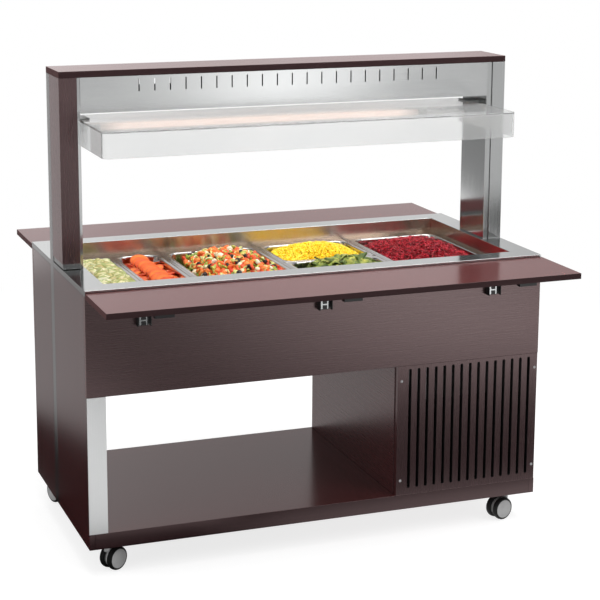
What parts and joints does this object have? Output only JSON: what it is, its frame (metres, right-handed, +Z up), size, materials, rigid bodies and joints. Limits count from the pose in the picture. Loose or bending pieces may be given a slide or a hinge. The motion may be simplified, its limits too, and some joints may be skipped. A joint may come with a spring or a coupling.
{
  "type": "mobile salad bar",
  "caption": "Mobile salad bar: castored cabinet with open shelf and machine compartment, chilled well of food pans, folding tray slides and a lit canopy with sneeze guard.",
  "frame": {"origin": "on the floor, below the middle of the cabinet", "axes": "+X along the length, towards the machine compartment; +Y across the depth, away from the side with the sneeze guard; +Z up"},
  "size_m": [1.5, 1.24, 1.512],
  "materials": {
    "wenge_laminate": "satin",
    "stainless": "satin",
    "polished_steel": "polished",
    "acrylic": "gloss",
    "black_plastic": "matt",
    "castor_tyre": "matt",
    "grey_plastic": "matt",
    "lamp": "glowing",
    "black_paint": "satin",
    "aluminium": "satin"
  },
  "bodies": {
    "cabinet": {"base_board": "wenge_laminate", "left_end_board_front": "wenge_laminate", "left_end_board_rear": "wenge_laminate", "left_end_lining": "stainless", "left_upright": "stainless", "left_post_cladding": "wenge_laminate", "right_end_board_rear": "wenge_laminate", "right_end_board_front": "wenge_laminate", "right_end_lining": "stainless", "right_upright": "stainless", "right_post_cladding": "wenge_laminate", "front_panel": "wenge_laminate", "rear_panel": "wenge_laminate", "compartment_wall": "wenge_laminate", "front_grille": "wenge_laminate", "rear_grille": "wenge_laminate", "worktop": "stainless", "well": "stainless", "divider_bar_left": "stainless", "divider_bar_centre": "stainless", "divider_bar_right": "stainless", "front_bracket_left": "polished_steel", "front_bracket_centre": "polished_steel", "front_bracket_right": "polished_steel", "rear_bracket_left": "polished_steel", "rear_bracket_centre": "polished_steel", "rear_bracket_right": "polished_steel", "canopy_board": "wenge_laminate", "canopy_housing": "stainless", "light_fitting": "grey_plastic", "light_tube": "lamp", "sneeze_guard": "acrylic", "guard_clamp_left": "polished_steel", "guard_clamp_right": "polished_steel", "condenser": "aluminium", "fan_shroud": "black_paint", "compressor": "black_paint"},
    "front_tray_slide": {"front_tray": "wenge_laminate", "front_tray_arm_left": "black_paint", "front_tray_arm_centre": "black_paint", "front_tray_arm_right": "black_paint"},
    "rear_tray_slide": {"rear_tray": "wenge_laminate", "rear_tray_arm_left": "black_paint", "rear_tray_arm_centre": "black_paint", "rear_tray_arm_right": "black_paint"},
    "cucumber_pan": {"pan_cucumber": "polished_steel"},
    "tomato_pan": {"pan_tomato": "polished_steel"},
    "mixed_salad_pan": {"pan_mixed_salad": "polished_steel"},
    "corn_pan": {"pan_corn": "polished_steel"},
    "leaf_salad_pan": {"pan_leaf_salad": "polished_steel"},
    "beetroot_pan": {"pan_beetroot": "polished_steel"},
    "fan": {"fan_rotor": "black_plastic"},
    "swivel_front_left": {"castor_fork_front_left": "grey_plastic"},
    "swivel_front_right": {"castor_fork_front_right": "grey_plastic"},
    "swivel_rear_left": {"castor_fork_rear_left": "grey_plastic"},
    "swivel_rear_right": {"castor_fork_rear_right": "grey_plastic"},
    "wheels_front_left": {"castor_wheels_front_left": "castor_tyre"},
    "wheels_front_right": {"castor_wheels_front_right": "castor_tyre"},
    "wheels_rear_left": {"castor_wheels_rear_left": "castor_tyre"},
    "wheels_rear_right": {"castor_wheels_rear_right": "castor_tyre"}
  },
  "joints": [
    {"name": "front_tray_hinge", "type": "hinge", "parent": "cabinet", "child": "front_tray_slide", "pos_m": [0, -0.385, 0.866], "axis": [1, 0, 0], "range_deg": [0, 90]},
    {"name": "rear_tray_hinge", "type": "hinge", "parent": "cabinet", "child": "rear_tray_slide", "pos_m": [0, 0.385, 0.866], "axis": [-1, 0, 0], "range_deg": [0, 90]},
    {"name": "cucumber_pan_lift", "type": "slide", "parent": "cabinet", "child": "cucumber_pan", "axis": [0, 0, 1], "range_m": [0, 0.15]},
    {"name": "tomato_pan_lift", "type": "slide", "parent": "cabinet", "child": "tomato_pan", "axis": [0, 0, 1], "range_m": [0, 0.15]},
    {"name": "mixed_salad_pan_lift", "type": "slide", "parent": "cabinet", "child": "mixed_salad_pan", "axis": [0, 0, 1], "range_m": [0, 0.15]},
    {"name": "corn_pan_lift", "type": "slide", "parent": "cabinet", "child": "corn_pan", "axis": [0, 0, 1], "range_m": [0, 0.15]},
    {"name": "leaf_salad_pan_lift", "type": "slide", "parent": "cabinet", "child": "leaf_salad_pan", "axis": [0, 0, 1], "range_m": [0, 0.15]},
    {"name": "beetroot_pan_lift", "type": "slide", "parent": "cabinet", "child": "beetroot_pan", "axis": [0, 0, 1], "range_m": [0, 0.15]},
    {"name": "fan_spin", "type": "hinge", "parent": "cabinet", "child": "fan", "pos_m": [0.5, -0.2447, 0.2768], "axis": [0, 1, 0], "continuous": true},
    {"name": "swivel_front_left_turn", "type": "hinge", "parent": "cabinet", "child": "swivel_front_left", "pos_m": [-0.68, -0.304, 0.09], "axis": [0, 0, 1], "continuous": true},
    {"name": "swivel_front_right_turn", "type": "hinge", "parent": "cabinet", "child": "swivel_front_right", "pos_m": [0.68, -0.304, 0.09], "axis": [0, 0, 1], "continuous": true},
    {"name": "swivel_rear_left_turn", "type": "hinge", "parent": "cabinet", "child": "swivel_rear_left", "pos_m": [-0.68, 0.304, 0.09], "axis": [0, 0, 1], "continuous": true},
    {"name": "swivel_rear_right_turn", "type": "hinge", "parent": "cabinet", "child": "swivel_rear_right", "pos_m": [0.68, 0.304, 0.09], "axis": [0, 0, 1], "continuous": true},
    {"name": "wheels_front_left_roll", "type": "hinge", "parent": "swivel_front_left", "child": "wheels_front_left", "pos_m": [-0.65813, -0.29188, 0.0375], "axis": [-0.4848, 0.8746, 0], "continuous": true},
    {"name": "wheels_front_right_roll", "type": "hinge", "parent": "swivel_front_right", "child": "wheels_front_right", "pos_m": [0.65585, -0.31047, 0.0375], "axis": [0.2588, -0.9659, 0], "continuous": true},
    {"name": "wheels_rear_left_roll", "type": "hinge", "parent": "swivel_rear_left", "child": "wheels_rear_left", "pos_m": [-0.68855, 0.32749, 0.0375], "axis": [-0.9397, -0.342, 0], "continuous": true},
    {"name": "wheels_rear_right_roll", "type": "hinge", "parent": "swivel_rear_right", "child": "wheels_rear_right", "pos_m": [0.65651, 0.29545, 0.0375], "axis": [0.342, -0.9397, 0], "continuous": true}
  ]
}
